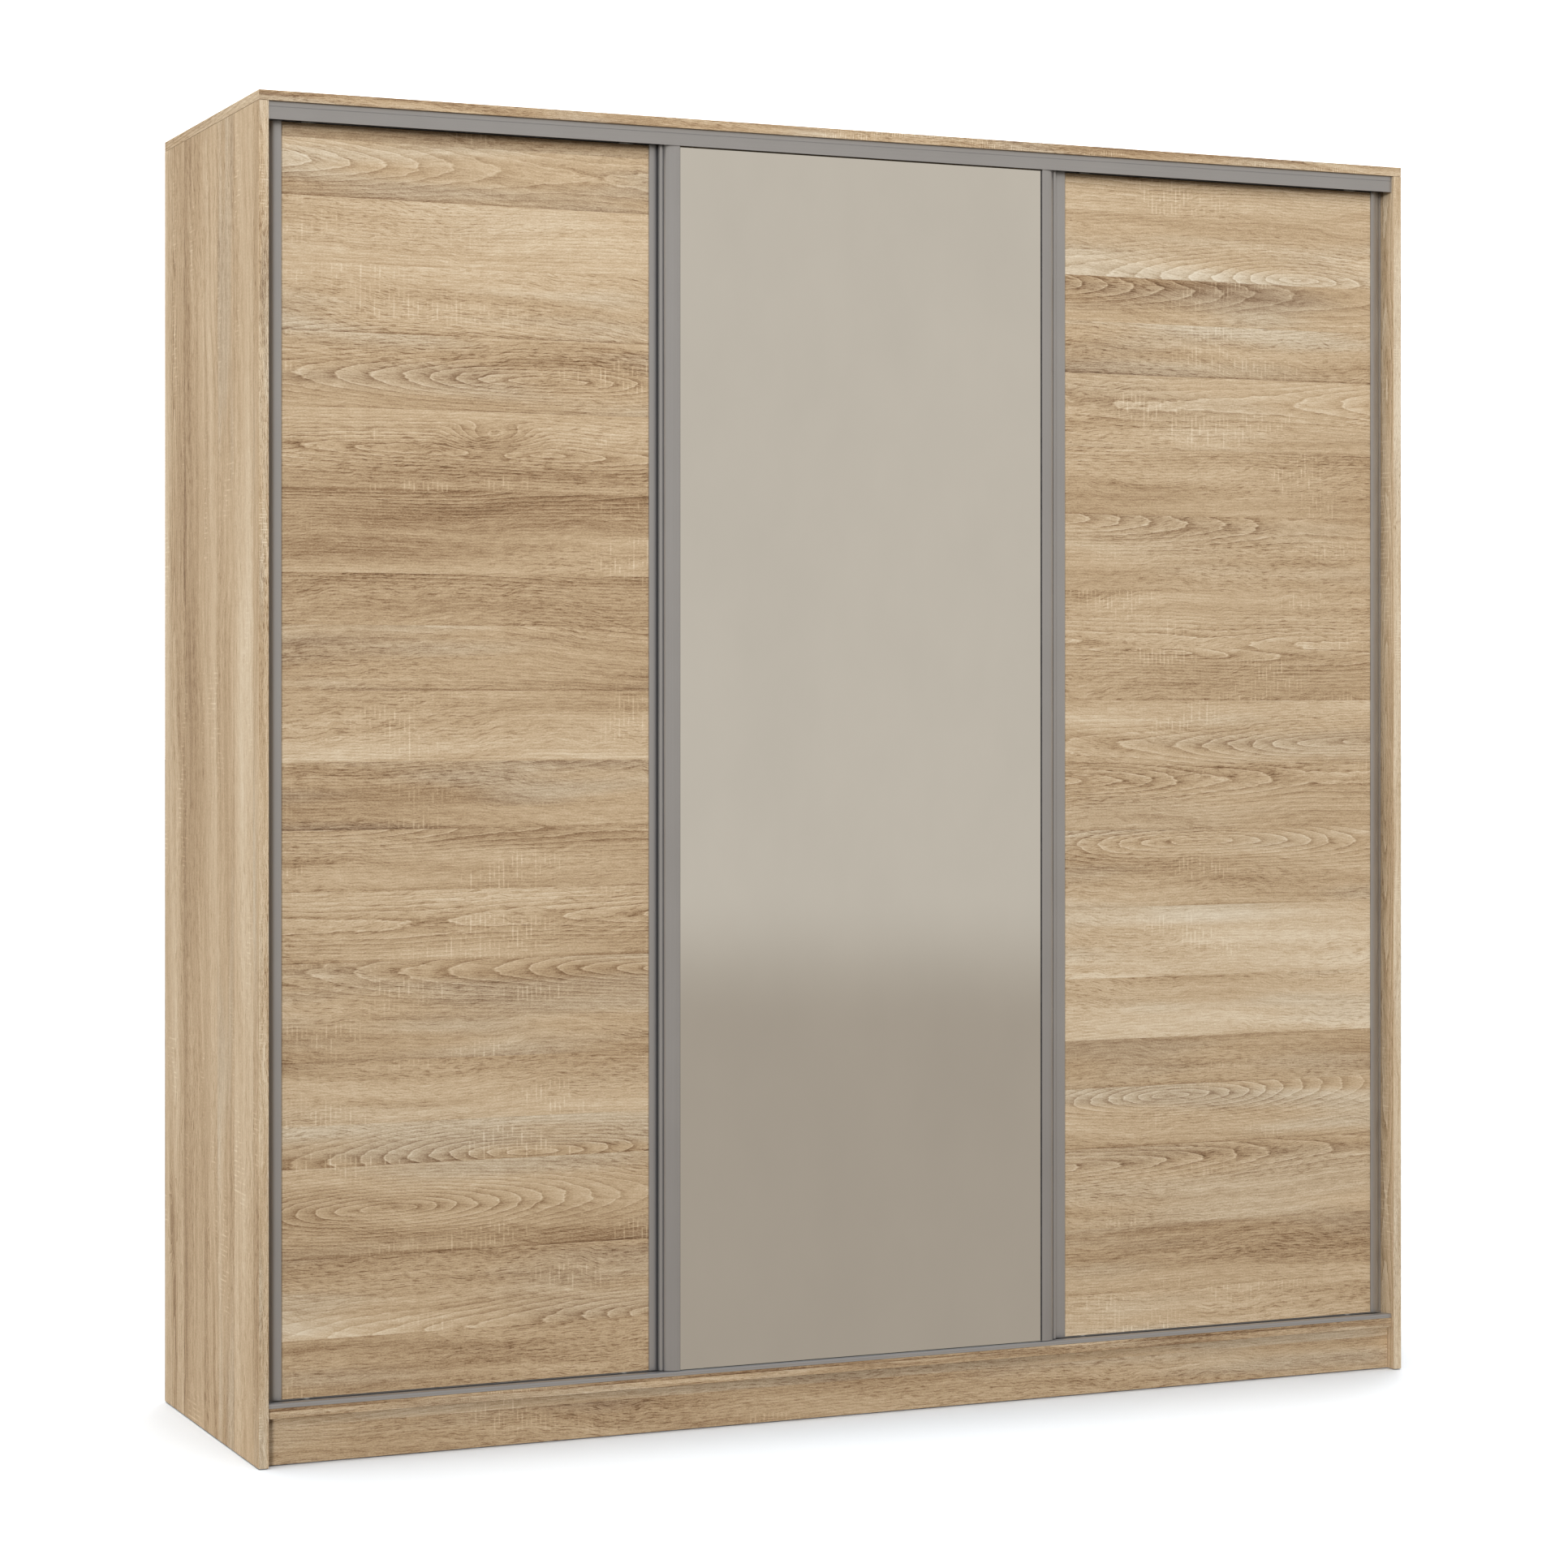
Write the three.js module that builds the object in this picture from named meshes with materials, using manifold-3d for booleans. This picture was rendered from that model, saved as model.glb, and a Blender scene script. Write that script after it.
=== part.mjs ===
// Three-door sliding wardrobe, in millimetres.
// +X is to the right seen from the front, +Y runs from the front to the back, and +Z is up.
// The origin is on the floor, under the middle of the carcass.
// The left and right doors share the rear lane of the tracks, and the centre door runs in front.
import * as THREE from 'three';
import { mergeVertices } from 'three/addons/utils/BufferGeometryUtils.js';
import Module from 'manifold-3d';

const wasm = await Module();
wasm.setup();

// ---------------------------------------------------------------- driving dimensions
const WIDTH = 2100;
const DEPTH = 600;
const HEIGHT = 2150;
const BOARD = 16;
const SEAM = 0.3;
const BACK_THICKNESS = 3;
const PLINTH_HEIGHT = 75;
const PLINTH_SETBACK = 20;
const FRONT_SETBACK = 6;

// Doors: aluminium stiles hold a thin panel, and the stile's front is the door's front plane.
// The stile that shuts against a side panel is a narrower extrusion than the others.
const STILE_WIDTH = 32;
const WALL_STILE_WIDTH = 28;
const STILE_DEPTH = 18;
const STILE_LIP_DEPTH = 11;
const STILE_WALL = 1.6;
const LANE_PITCH = 20;
const FRONT_LANE_SETBACK = 8.4;
const DOOR_BOTTOM = 99.3;
const DOOR_TOP = 2108;
const SIDE_DOOR_WIDTH = 680;
const CENTRE_DOOR_WIDTH = 733;
const CENTRE_DOOR_OFFSET = -4;
const SIDE_CLEARANCE = 0.7;
const PANEL_THICKNESS = 10;
const PANEL_FRONT = 4.2;
const PANEL_INSERT = 13;
const PANEL_PLAY = 0.2;
const PANEL_TOP = 2107;
const GLASS_THICKNESS = 3.8;
const GLASS_TOP = 2104.5;
const RUNNER_INSET = 72;
const RUNNER_LENGTH = 56;
const RUNNER_HEIGHT = 43;
const RUNNER_FRONT = 8.5;

// Bottom wheels and the rail ridges under them.
const WHEEL_RADIUS = 12;
const WHEEL_GROOVE = 1.5;
const WHEEL_WIDTH = 5;
const AXLE_RADIUS = 2;
const BORE_RADIUS = 2.3;
const RIDGE_TOP = 98;
const RIDGE_HALF = 1.3;
const DECK_TOP = 96.2;
const WHEEL_GAP = 0.2;
const WHEEL_LINE = 13.1;

// Top guide rollers and the channels that they run in.
const GUIDE_LINE = 9;
const GUIDE_RADIUS = 8;
const GUIDE_BOTTOM = 2111;
const GUIDE_HEIGHT = 10;
const FASCIA_BOTTOM = 2106;
const FASCIA_THICKNESS = 1.4;
const TRACK_WALL = 1.6;
const TRACK_PLAY = 0.2;

// Inside fittings.
const PARTITION_X = 350;
const INSIDE_FRONT = -240;
const HAT_SHELF_Z = 1830;
const CENTRE_SHELVES = 4;
const RAIL_DROP = 60;
const RAIL_HALF_WIDTH = 7.5;
const RAIL_HALF_HEIGHT = 15;

// ---------------------------------------------------------------- derived places
const HALF = WIDTH / 2;
const INNER = HALF - BOARD;
const FRONT = -DEPTH / 2;
const BACK = DEPTH / 2;
const BOARD_BACK = BACK - BACK_THICKNESS - SEAM;
const TOP_UNDERSIDE = HEIGHT - BOARD;
const FLOOR_TOP = PLINTH_HEIGHT + BOARD;
const BOARD_FRONT = FRONT + FRONT_SETBACK;
const FRONT_LANE = FRONT + FRONT_LANE_SETBACK;
const REAR_LANE = FRONT_LANE + LANE_PITCH;
const SIDE_DOOR_X = INNER - SIDE_CLEARANCE - SIDE_DOOR_WIDTH / 2;
const WHEEL_Z = RIDGE_TOP + WHEEL_GAP + WHEEL_RADIUS - WHEEL_GROOVE;

// ---------------------------------------------------------------- materials
function finish(color, roughness, metalness) {
  return new THREE.MeshStandardMaterial({ color, roughness, metalness });
}

const OAK = finish(0xc6ad86, 0.55, 0);
const OAK_EDGE = finish(0xc9b28d, 0.6, 0);
const BACKBOARD = finish(0xe6e2da, 0.7, 0);
const ALUMINIUM = finish(0x96928e, 0.4, 0.9);
const MIRROR = finish(0xe8eaec, 0.02, 1);
const CHROME = finish(0xc8cacc, 0.15, 1);
const ZINC = finish(0xa9adb0, 0.35, 0.9);
const NYLON = finish(0xe9e7e1, 0.5, 0);
const HOUSING = finish(0x3c3d3f, 0.6, 0);

// ---------------------------------------------------------------- geometry helpers
function box(x, y, z) {
  const geometry = new THREE.BoxGeometry(x[1] - x[0], y[1] - y[0], z[1] - z[0]);
  return geometry.translate((x[0] + x[1]) / 2, (y[0] + y[1]) / 2, (z[0] + z[1]) / 2);
}

function centredBox(xMiddle, length, y, z) {
  return box([xMiddle - length / 2, xMiddle + length / 2], y, z);
}

// An outline in X and Y, raised from z[0] to z[1].
function uprightProfile(outline, z) {
  const geometry = new THREE.ExtrudeGeometry(new THREE.Shape(outline), {
    depth: z[1] - z[0],
    bevelEnabled: false,
  });
  return geometry.translate(0, 0, z[0]);
}

// An outline in Y and Z, drawn along X from x[0] to x[1].
function crossProfile(shape, x) {
  const geometry = new THREE.ExtrudeGeometry(shape, {
    depth: x[1] - x[0],
    bevelEnabled: false,
    curveSegments: 12,
  });
  const turn = new THREE.Matrix4().makeBasis(
    new THREE.Vector3(0, 1, 0),
    new THREE.Vector3(0, 0, 1),
    new THREE.Vector3(1, 0, 0),
  );
  return geometry.applyMatrix4(turn).translate(x[0], 0, 0);
}

function points(pairs) {
  return pairs.map(([a, b]) => new THREE.Vector2(a, b));
}

// Points on an ellipse from one angle to another, in degrees.
function ellipseArc(centre, radii, from, to, steps) {
  return Array.from({ length: steps + 1 }, (_, i) => {
    const angle = THREE.MathUtils.degToRad(from + ((to - from) * i) / steps);
    return [centre[0] + radii[0] * Math.cos(angle), centre[1] + radii[1] * Math.sin(angle)];
  });
}

function toSolid(geometry) {
  const bare = geometry.clone();
  bare.deleteAttribute('normal');
  bare.deleteAttribute('uv');
  const merged = mergeVertices(bare);
  return new wasm.Manifold(new wasm.Mesh({
    numProp: 3,
    vertProperties: new Float32Array(merged.attributes.position.array),
    triVerts: new Uint32Array(merged.index.array),
  }));
}

function toGeometry(solid) {
  const mesh = solid.getMesh();
  const geometry = new THREE.BufferGeometry();
  geometry.setAttribute('position', new THREE.BufferAttribute(mesh.vertProperties, 3));
  geometry.setIndex(new THREE.BufferAttribute(mesh.triVerts, 1));
  geometry.computeVertexNormals();
  return geometry;
}

function join(first, ...others) {
  return toGeometry(others.reduce((solid, other) => solid.add(toSolid(other)), toSolid(first)));
}

function cut(first, ...others) {
  return toGeometry(others.reduce((solid, other) => solid.subtract(toSolid(other)), toSolid(first)));
}

function addPiece(group, name, geometry, material) {
  const mesh = new THREE.Mesh(geometry, material);
  mesh.name = name;
  group.add(mesh);
  return mesh;
}

// ---------------------------------------------------------------- carcass
function addCarcassBoards(carcass) {
  const full = [FRONT, BOARD_BACK];
  const uprightZ = [0, TOP_UNDERSIDE - SEAM];
  addPiece(carcass, 'top_panel', box([-HALF, HALF], full, [TOP_UNDERSIDE, HEIGHT]), OAK);
  addPiece(carcass, 'left_side_panel', box([-HALF, -INNER], full, uprightZ), OAK);
  addPiece(carcass, 'right_side_panel', box([INNER, HALF], full, uprightZ), OAK);

  const between = [-INNER + SEAM, INNER - SEAM];
  const floorZ = [PLINTH_HEIGHT, FLOOR_TOP];
  addPiece(carcass, 'bottom_panel', box(between, [BOARD_FRONT, BOARD_BACK], floorZ), OAK_EDGE);

  const plinthZ = [0, PLINTH_HEIGHT - SEAM];
  const plinthFront = FRONT + PLINTH_SETBACK;
  const plinthRear = BACK - PLINTH_SETBACK;
  addPiece(carcass, 'plinth_front', box(between, [plinthFront, plinthFront + BOARD], plinthZ), OAK);
  addPiece(carcass, 'plinth_rear', box(between, [plinthRear - BOARD, plinthRear], plinthZ), OAK);

  const partitionZ = [FLOOR_TOP + SEAM, TOP_UNDERSIDE - SEAM];
  const partitionY = [INSIDE_FRONT, BOARD_BACK];
  for (const [side, sign] of [['left', -1], ['right', 1]]) {
    const geometry = centredBox(sign * PARTITION_X, BOARD, partitionY, partitionZ);
    addPiece(carcass, `partition_${side}`, geometry, OAK);
  }
}

function addBackPanels(carcass) {
  const margin = 3;
  const y = [BACK - BACK_THICKNESS, BACK];
  const z = [PLINTH_HEIGHT + margin, HEIGHT - margin];
  const outer = HALF - margin;
  const split = PARTITION_X;
  addPiece(carcass, 'back_panel_left', box([-outer, -split - SEAM], y, z), BACKBOARD);
  addPiece(carcass, 'back_panel_centre', box([-split + SEAM, split - SEAM], y, z), BACKBOARD);
  addPiece(carcass, 'back_panel_right', box([split + SEAM, outer], y, z), BACKBOARD);
}

function addShelves(carcass) {
  const setback = 2;
  const y = [INSIDE_FRONT + setback, BOARD_BACK];
  const sideInner = PARTITION_X + BOARD / 2 + SEAM;
  const hatZ = [HAT_SHELF_Z, HAT_SHELF_Z + BOARD];
  addPiece(carcass, 'left_hat_shelf', box([-INNER + SEAM, -sideInner], y, hatZ), OAK);
  addPiece(carcass, 'right_hat_shelf', box([sideInner, INNER - SEAM], y, hatZ), OAK);

  const clear = TOP_UNDERSIDE - FLOOR_TOP - CENTRE_SHELVES * BOARD;
  const bay = clear / (CENTRE_SHELVES + 1);
  const half = PARTITION_X - BOARD / 2 - SEAM;
  for (let i = 1; i <= CENTRE_SHELVES; i += 1) {
    const z = FLOOR_TOP + i * bay + (i - 1) * BOARD;
    addPiece(carcass, `centre_shelf_${i}`, box([-half, half], y, [z, z + BOARD]), OAK);
  }
}

// An oval tube lying along X, or the solid that fills it.
function ovalAlongX(halfWidth, halfHeight, wall, x) {
  const shape = new THREE.Shape();
  shape.absellipse(0, 0, halfWidth, halfHeight, 0, Math.PI * 2);
  if (wall > 0) {
    const hole = new THREE.Path();
    hole.absellipse(0, 0, halfWidth - wall, halfHeight - wall, 0, Math.PI * 2);
    shape.holes.push(hole);
  }
  return crossProfile(shape, x);
}

// The cup that holds a rail's end: a flange on the board and a collar round the rail.
// wallX is the board's face, and inward is +1 where the rail runs towards +X.
function railCup(wallX, inward) {
  const flange = 2.5;
  const collar = 14;
  const lip = 2.2;
  const play = 0.35;
  const span = (a, b) => [wallX + inward * a, wallX + inward * b].sort((p, q) => p - q);
  const width = RAIL_HALF_WIDTH + play;
  const height = RAIL_HALF_HEIGHT + play;
  const plate = ovalAlongX(width + 7, height + 9, 0, span(SEAM, SEAM + flange));
  const cup = ovalAlongX(width + lip, height + lip, 0, span(SEAM + flange / 2, collar));
  const bore = ovalAlongX(width, height, 0, span(SEAM + flange, collar + 1));
  return cut(join(plate, cup), bore);
}

function addHangingRails(carcass) {
  const flangeRoom = 3.1;
  const wallThickness = 1.2;
  const z = HAT_SHELF_Z - RAIL_DROP;
  const y = (INSIDE_FRONT + BOARD_BACK) / 2;
  const nearX = PARTITION_X + BOARD / 2;
  for (const [side, sign] of [['left', -1], ['right', 1]]) {
    const ends = [sign * nearX, sign * INNER].sort((a, b) => a - b);
    const rail = new THREE.Group();
    rail.position.set(0, y, z);
    carcass.add(rail);
    const span = [ends[0] + flangeRoom, ends[1] - flangeRoom];
    const tube = ovalAlongX(RAIL_HALF_WIDTH, RAIL_HALF_HEIGHT, wallThickness, span);
    addPiece(rail, `${side}_hanging_rail`, tube, CHROME);
    addPiece(rail, `${side}_rail_cup_a`, railCup(ends[0], 1), ZINC);
    addPiece(rail, `${side}_rail_cup_b`, railCup(ends[1], -1), ZINC);
  }
}

// ---------------------------------------------------------------- tracks
// The top track is one E-shaped extrusion: a fascia in front, a wall between the two lanes and
// a wall behind. A fine line runs along the fascia.
function addTopTrack(carcass) {
  const top = TOP_UNDERSIDE - SEAM;
  const web = top - 1.7;
  const wallBottom = FASCIA_BOTTOM + 4;
  const fasciaBack = BOARD_FRONT + FASCIA_THICKNESS;
  const middle = [REAR_LANE - TRACK_WALL - 2 * TRACK_PLAY, REAR_LANE - 2 * TRACK_PLAY];
  const rear = REAR_LANE + STILE_DEPTH + TRACK_PLAY;
  const lineZ = top - 8;
  const lineBack = BOARD_FRONT + 0.6;
  const outline = points([
    [BOARD_FRONT, FASCIA_BOTTOM],
    [fasciaBack, FASCIA_BOTTOM],
    [fasciaBack, web],
    [middle[0], web],
    [middle[0], wallBottom],
    [middle[1], wallBottom],
    [middle[1], web],
    [rear, web],
    [rear, wallBottom],
    [rear + TRACK_WALL, wallBottom],
    [rear + TRACK_WALL, top],
    [BOARD_FRONT, top],
    [BOARD_FRONT, lineZ + 0.5],
    [lineBack, lineZ + 0.2],
    [lineBack, lineZ - 0.4],
    [BOARD_FRONT, lineZ - 0.7],
  ]);
  const ends = [-INNER + SEAM, INNER - SEAM];
  addPiece(carcass, 'top_track', crossProfile(new THREE.Shape(outline), ends), ALUMINIUM);
}

function ridge(y) {
  const crown = ellipseArc([y, RIDGE_TOP - RIDGE_HALF], [RIDGE_HALF, RIDGE_HALF], 180, 0, 6);
  return [[y - RIDGE_HALF, DECK_TOP], ...crown, [y + RIDGE_HALF, DECK_TOP]];
}

// The bottom track has a rounded nose, a flat deck with one ridge for each lane, and legs
// under the deck that stand on the bottom board.
function addBottomTrack(carcass) {
  const foot = FLOOR_TOP + SEAM;
  const noseFront = BOARD_FRONT + 0.4;
  const noseBack = noseFront + 7.4;
  const rear = REAR_LANE + STILE_DEPTH + 4;
  const under = DECK_TOP - TRACK_WALL;
  const frontRidge = FRONT_LANE + WHEEL_LINE;
  const rearRidge = REAR_LANE + WHEEL_LINE;
  const nose = ellipseArc([noseBack, foot + 0.8], [noseBack - noseFront, DECK_TOP - foot - 0.8], 180, 90, 7);
  const legs = [rear - TRACK_WALL, rearRidge + 1, frontRidge + 1];
  const underside = legs.flatMap((right, i) => {
    const left = right - (i === 0 ? 0 : 2);
    const next = i + 1 < legs.length ? legs[i + 1] : noseFront + 3.2;
    return [[left, foot], [left, under], [next, under], [next, foot]];
  });
  const outline = points([
    [noseFront, foot],
    ...nose,
    ...ridge(frontRidge),
    ...ridge(rearRidge),
    [rear, DECK_TOP],
    [rear, foot],
    ...underside,
  ]);
  const ends = [-INNER + SEAM, INNER - SEAM];
  addPiece(carcass, 'bottom_track', crossProfile(new THREE.Shape(outline), ends), ALUMINIUM);
}

// ---------------------------------------------------------------- doors
// The stile's section: a convex face, a recessed outer lip for the fingers, and a pocket for
// the panel. x runs outwards from the inner edge and y runs back from the door's front plane.
function stileOutline(width, outward) {
  const wall = STILE_WALL;
  const lip = STILE_LIP_DEPTH;
  const crown = [3, lip];
  const faceEnd = width - 6.5;
  const lipStart = width - 5;
  const groove = lip + 2;
  const outer = [faceEnd - crown[0], lip];
  const inner = [outer[0] - wall, outer[1] - wall];
  const web = PANEL_INSERT + 1;
  const pocket = [PANEL_FRONT - PANEL_PLAY, PANEL_FRONT + PANEL_THICKNESS + PANEL_PLAY];
  const hidden = THREE.MathUtils.radToDeg(Math.acos((web + wall - crown[0]) / inner[0]));
  const section = [
    [0, pocket[0]], [0, 0.8], [0.8, 0],
    ...ellipseArc(crown, outer, -90, 0, 9),
    [faceEnd, groove], [lipStart, groove], [lipStart, lip + 0.6], [lipStart + 0.6, lip],
    [width - 0.6, lip], [width, lip + 0.6], [width, STILE_DEPTH], [width - wall, STILE_DEPTH],
    [width - wall, groove + wall], [crown[0] + inner[0], groove + wall],
    ...ellipseArc(crown, inner, 0, -hidden, 5),
    [web + wall, pocket[1] + wall], [0, pocket[1] + wall], [0, pocket[1]],
    [web, pocket[1]], [web, pocket[0]],
  ];
  return points(section.map(([x, y]) => [outward * x, y]));
}

// Every door part below is drawn in the door's own frame: x from its middle, y back from its
// front plane, and z as in the wardrobe.
function addStile(door, name, width, halfWidth, outward) {
  const geometry = uprightProfile(stileOutline(width, outward), [DOOR_BOTTOM, DOOR_TOP]);
  const stile = addPiece(door, name, geometry, ALUMINIUM);
  stile.position.x = outward * (halfWidth - width);
}

// The panel's ends in x: each one sits in its stile's pocket.
function panelEnds(halfWidth, stiles) {
  return [-halfWidth + stiles.left - PANEL_INSERT, halfWidth - stiles.right + PANEL_INSERT];
}

function runnerRecess(x) {
  const y = [RUNNER_FRONT - SEAM, 20];
  return centredBox(x, RUNNER_LENGTH + 2, y, [DOOR_BOTTOM - 5, DOOR_BOTTOM + RUNNER_HEIGHT + 1]);
}

function cutForRunners(board, halfWidth) {
  const runnerX = halfWidth - RUNNER_INSET;
  return cut(board, runnerRecess(-runnerX), runnerRecess(runnerX));
}

function addPanel(door, prefix, halfWidth, stiles) {
  const y = [PANEL_FRONT, PANEL_FRONT + PANEL_THICKNESS];
  const board = box(panelEnds(halfWidth, stiles), y, [DOOR_BOTTOM, PANEL_TOP]);
  addPiece(door, `${prefix}_panel`, cutForRunners(board, halfWidth), OAK);
}

function addMirror(door, prefix, halfWidth, stiles) {
  const ends = panelEnds(halfWidth, stiles);
  const glassBack = PANEL_FRONT + GLASS_THICKNESS;
  const glass = box(ends, [PANEL_FRONT, glassBack], [DOOR_BOTTOM, GLASS_TOP]);
  addPiece(door, `${prefix}_mirror`, glass, MIRROR);
  const backing = [glassBack + PANEL_PLAY, PANEL_FRONT + PANEL_THICKNESS];
  const board = box(ends, backing, [DOOR_BOTTOM, PANEL_TOP]);
  addPiece(door, `${prefix}_backing_board`, cutForRunners(board, halfWidth), OAK);
}

// A cylinder whose axis runs along Y.
function crossPin(radius, y, x, z) {
  const geometry = new THREE.CylinderGeometry(radius, radius, y[1] - y[0], 20);
  return geometry.translate(x, (y[0] + y[1]) / 2, z);
}

// The runner housing fills the recess in the panel's back, and carries the wheel on its axle.
function addRunner(door, prefix, side, x) {
  const y = [RUNNER_FRONT, STILE_DEPTH - SEAM];
  const z = [DOOR_BOTTOM + SEAM, DOOR_BOTTOM + RUNNER_HEIGHT];
  const slotHalf = 3;
  const slotZ = [DOOR_BOTTOM - 2, WHEEL_Z + WHEEL_RADIUS + 3];
  const slotLength = (WHEEL_RADIUS + 2) * 2;
  const body = centredBox(x, RUNNER_LENGTH, y, z);
  const slot = centredBox(x, slotLength, [WHEEL_LINE - slotHalf, WHEEL_LINE + slotHalf], slotZ);
  const adjuster = new THREE.CylinderGeometry(2.6, 2.6, 12, 16).rotateX(Math.PI / 2);
  adjuster.translate(x + 20, WHEEL_LINE, z[0] + 3);
  const axle = crossPin(AXLE_RADIUS, [y[0] + 0.6, y[1] - 0.6], x, WHEEL_Z);
  const housing = join(cut(body, slot, adjuster), axle);
  addPiece(door, `${prefix}_runner_${side}`, housing, HOUSING);
  addWheel(door, `${prefix}_wheel_${side}`, x);
}

// A grooved wheel on the Y axis: flanges either side of a round groove that sits on the ridge.
function addWheel(door, name, x) {
  const half = WHEEL_WIDTH / 2;
  const hub = 2.8;
  const rim = WHEEL_RADIUS;
  const groove = ellipseArc([rim, 0], [WHEEL_GROOVE, 1.75], 270, 90, 4);
  const profile = points([
    [BORE_RADIUS, -hub], [4.2, -hub], [4.6, -half + 0.7], [rim - 2.6, -half + 0.7],
    [rim - 2.2, -half], [rim, -half],
    ...groove,
    [rim, half], [rim - 2.2, half], [rim - 2.6, half - 0.7], [4.6, half - 0.7], [4.2, hub],
    [BORE_RADIUS, hub], [BORE_RADIUS, -hub],
  ]);
  const wheel = addPiece(door, name, new THREE.LatheGeometry(profile, 24), NYLON);
  wheel.position.set(x, WHEEL_LINE, WHEEL_Z);
}

// The guide bracket is screwed to the panel's back, reaches over its top edge and carries a
// headed pin for the guide roller.
function addGuide(door, prefix, side, x) {
  const plateY = [PANEL_FRONT + PANEL_THICKNESS + SEAM, STILE_DEPTH - 0.7];
  const shelfZ = [PANEL_TOP + SEAM, PANEL_TOP + 2.6];
  const plate = centredBox(x, 34, plateY, [PANEL_TOP - 42, shelfZ[1]]);
  const shelf = centredBox(x, 22, [GUIDE_LINE - 5, plateY[1]], shelfZ);
  const pinTop = GUIDE_BOTTOM + GUIDE_HEIGHT;
  const head = pinTop + 0.5;
  const pin = new THREE.LatheGeometry(points([
    [0, shelfZ[0]], [3.6, shelfZ[0]], [3.6, GUIDE_BOTTOM - 0.5], [AXLE_RADIUS, GUIDE_BOTTOM - 0.5],
    [AXLE_RADIUS, head], [3.4, head], [3.4, head + 1], [0, head + 1.4],
  ]), 20);
  pin.rotateX(Math.PI / 2).translate(x, GUIDE_LINE, 0);
  addPiece(door, `${prefix}_guide_bracket_${side}`, join(plate, shelf, pin), ZINC);
  addGuideRoller(door, `${prefix}_guide_roller_${side}`, x);
}

function addGuideRoller(door, name, x) {
  const half = GUIDE_HEIGHT / 2;
  const edge = 0.9;
  const profile = points([
    [BORE_RADIUS, -half], [GUIDE_RADIUS - edge, -half], [GUIDE_RADIUS, -half + edge],
    [GUIDE_RADIUS, half - edge], [GUIDE_RADIUS - edge, half], [BORE_RADIUS, half],
    [BORE_RADIUS, -half],
  ]);
  const roller = addPiece(door, name, new THREE.LatheGeometry(profile, 28), NYLON);
  roller.rotation.x = Math.PI / 2;
  roller.position.set(x, GUIDE_LINE, GUIDE_BOTTOM + half);
}

function buildDoor(prefix, width, middle, lane, stiles, addFront) {
  const door = new THREE.Group();
  door.position.set(middle, lane, 0);
  const halfWidth = width / 2;
  addFront(door, prefix, halfWidth, stiles);
  for (const [side, sign] of [['left', -1], ['right', 1]]) {
    const runnerX = sign * (halfWidth - RUNNER_INSET);
    addStile(door, `${prefix}_stile_${side}`, stiles[side], halfWidth, sign);
    addRunner(door, prefix, side, runnerX);
    addGuide(door, prefix, side, runnerX);
  }
  return door;
}

// ---------------------------------------------------------------- the wardrobe
function addDoors(wardrobe) {
  const wallLeft = { left: WALL_STILE_WIDTH, right: STILE_WIDTH };
  const wallRight = { left: STILE_WIDTH, right: WALL_STILE_WIDTH };
  const plain = { left: STILE_WIDTH, right: STILE_WIDTH };
  const side = SIDE_DOOR_WIDTH;
  wardrobe.add(
    buildDoor('left_door', side, -SIDE_DOOR_X, REAR_LANE, wallLeft, addPanel),
    buildDoor('centre_door', CENTRE_DOOR_WIDTH, CENTRE_DOOR_OFFSET, FRONT_LANE, plain, addMirror),
    buildDoor('right_door', side, SIDE_DOOR_X, REAR_LANE, wallRight, addPanel),
  );
}

function buildWardrobe() {
  const wardrobe = new THREE.Group();
  const carcass = new THREE.Group();
  wardrobe.add(carcass);
  addCarcassBoards(carcass);
  addBackPanels(carcass);
  addShelves(carcass);
  addHangingRails(carcass);
  addTopTrack(carcass);
  addBottomTrack(carcass);
  addDoors(wardrobe);
  return wardrobe;
}

export default buildWardrobe();
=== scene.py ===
"""Visual model of the three-door sliding wardrobe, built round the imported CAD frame.

Lengths are in metres, in the row frame: +X is right seen from the front, +Y runs to the back
and +Z is up.
"""

import math

import bmesh
import bpy
from mathutils import Matrix, Vector


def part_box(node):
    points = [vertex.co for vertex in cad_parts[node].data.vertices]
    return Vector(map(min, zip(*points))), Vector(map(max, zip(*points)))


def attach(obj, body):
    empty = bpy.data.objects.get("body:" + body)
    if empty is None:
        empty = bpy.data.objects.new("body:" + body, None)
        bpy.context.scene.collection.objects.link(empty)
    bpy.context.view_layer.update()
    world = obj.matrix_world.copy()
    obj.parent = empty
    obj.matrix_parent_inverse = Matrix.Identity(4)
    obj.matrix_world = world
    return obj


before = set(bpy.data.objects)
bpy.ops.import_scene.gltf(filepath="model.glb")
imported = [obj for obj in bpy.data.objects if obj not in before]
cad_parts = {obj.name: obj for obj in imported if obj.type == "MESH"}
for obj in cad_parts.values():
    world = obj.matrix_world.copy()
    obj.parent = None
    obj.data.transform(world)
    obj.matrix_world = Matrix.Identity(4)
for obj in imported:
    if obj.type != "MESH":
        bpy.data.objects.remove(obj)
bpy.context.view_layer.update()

MM = 0.001
X, Y, Z = 0, 1, 2
DOORS = ("left_door", "centre_door", "right_door")
SIDES = ("left", "right")
SHELF_NUMBERS = range(1, 5)


# ---------------------------------------------------------------- colours
def linear(red, green, blue):
    """An sRGB colour from 0 to 255 as linear RGBA. The numbers are the sRGB standard's."""
    parts = [value / 255 for value in (red, green, blue)]
    curved = [p / 12.92 if p <= 0.04045 else ((p + 0.055) / 1.055) ** 2.4 for p in parts]
    return (*curved, 1.0)


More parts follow.
